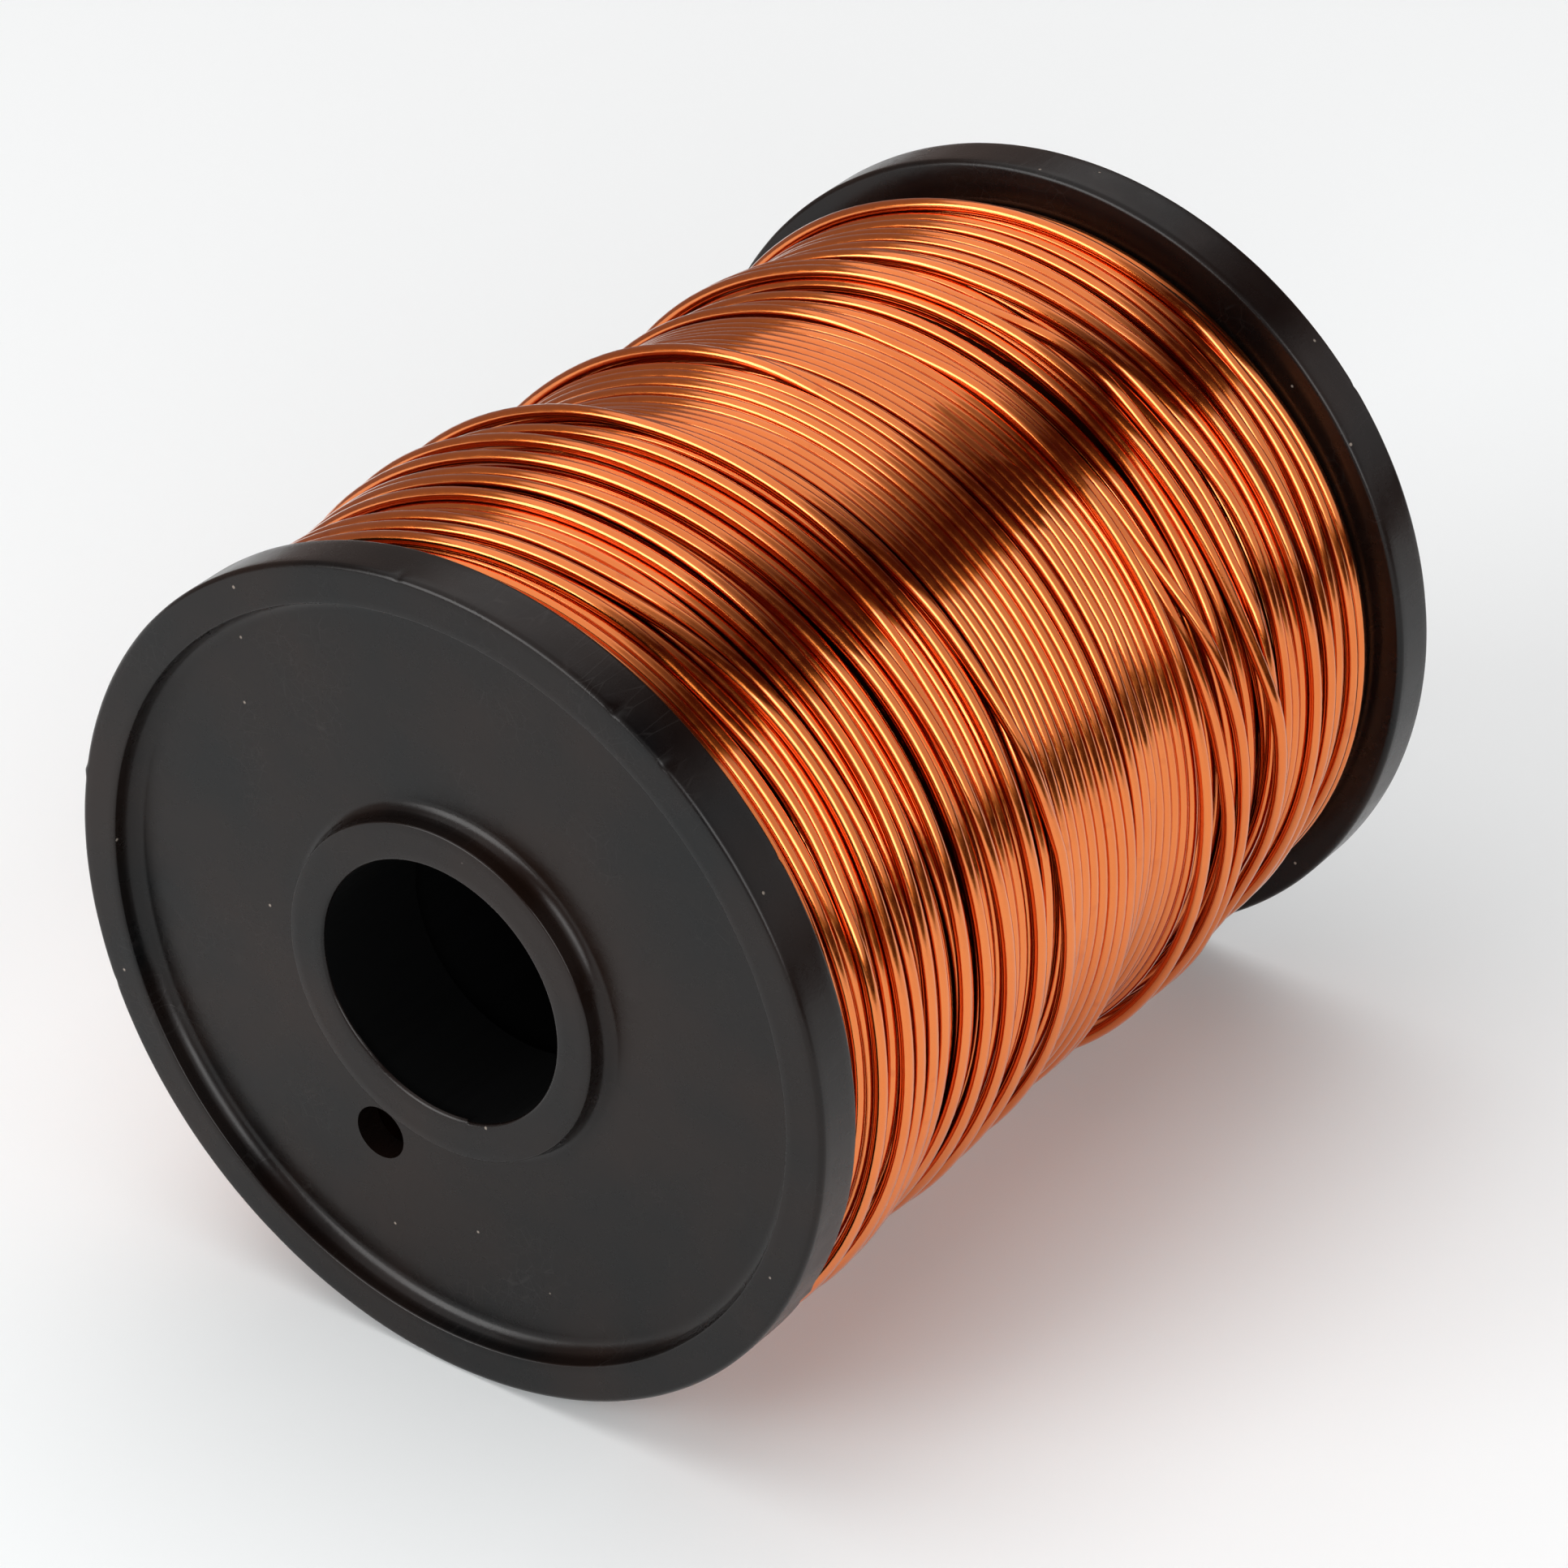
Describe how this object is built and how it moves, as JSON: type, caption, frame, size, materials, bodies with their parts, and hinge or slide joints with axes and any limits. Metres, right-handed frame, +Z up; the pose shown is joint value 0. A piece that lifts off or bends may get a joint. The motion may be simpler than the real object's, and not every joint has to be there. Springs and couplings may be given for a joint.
{
  "type": "wire spool",
  "caption": "Moulded plastic reel with two rimmed flanges and a spindle bore, wound full with enamelled copper wire in uneven layers.",
  "frame": {"origin": "on the spindle axis, midway between the outer faces of the two flanges", "axes": "+Y along the spindle axis from the front flange to the rear flange, +Z up with the reel lying on its two rims"},
  "size_m": [0.0636, 0.077, 0.0636],
  "materials": {
    "reel_plastic": "satin, moulded, near black",
    "enamelled_copper": "bright drawn copper under clear amber enamel"
  },
  "bodies": {
    "root": {"front_flange": "reel_plastic", "rear_flange": "reel_plastic", "barrel": "reel_plastic", "wire_layer_01": "enamelled_copper", "wire_layer_02": "enamelled_copper", "wire_layer_03": "enamelled_copper", "wire_layer_04": "enamelled_copper", "wire_layer_05": "enamelled_copper", "wire_layer_06": "enamelled_copper", "wire_layer_07": "enamelled_copper", "wire_layer_08": "enamelled_copper", "wire_layer_09": "enamelled_copper", "wire_layer_10": "enamelled_copper", "wire_layer_11": "enamelled_copper", "wire_layer_12": "enamelled_copper", "wire_layer_13": "enamelled_copper", "wire_layer_14": "enamelled_copper", "wire_layer_15": "enamelled_copper", "wire_layer_16": "enamelled_copper", "wire_layer_17": "enamelled_copper", "wire_layer_18": "enamelled_copper"}
  },
  "joints": []
}
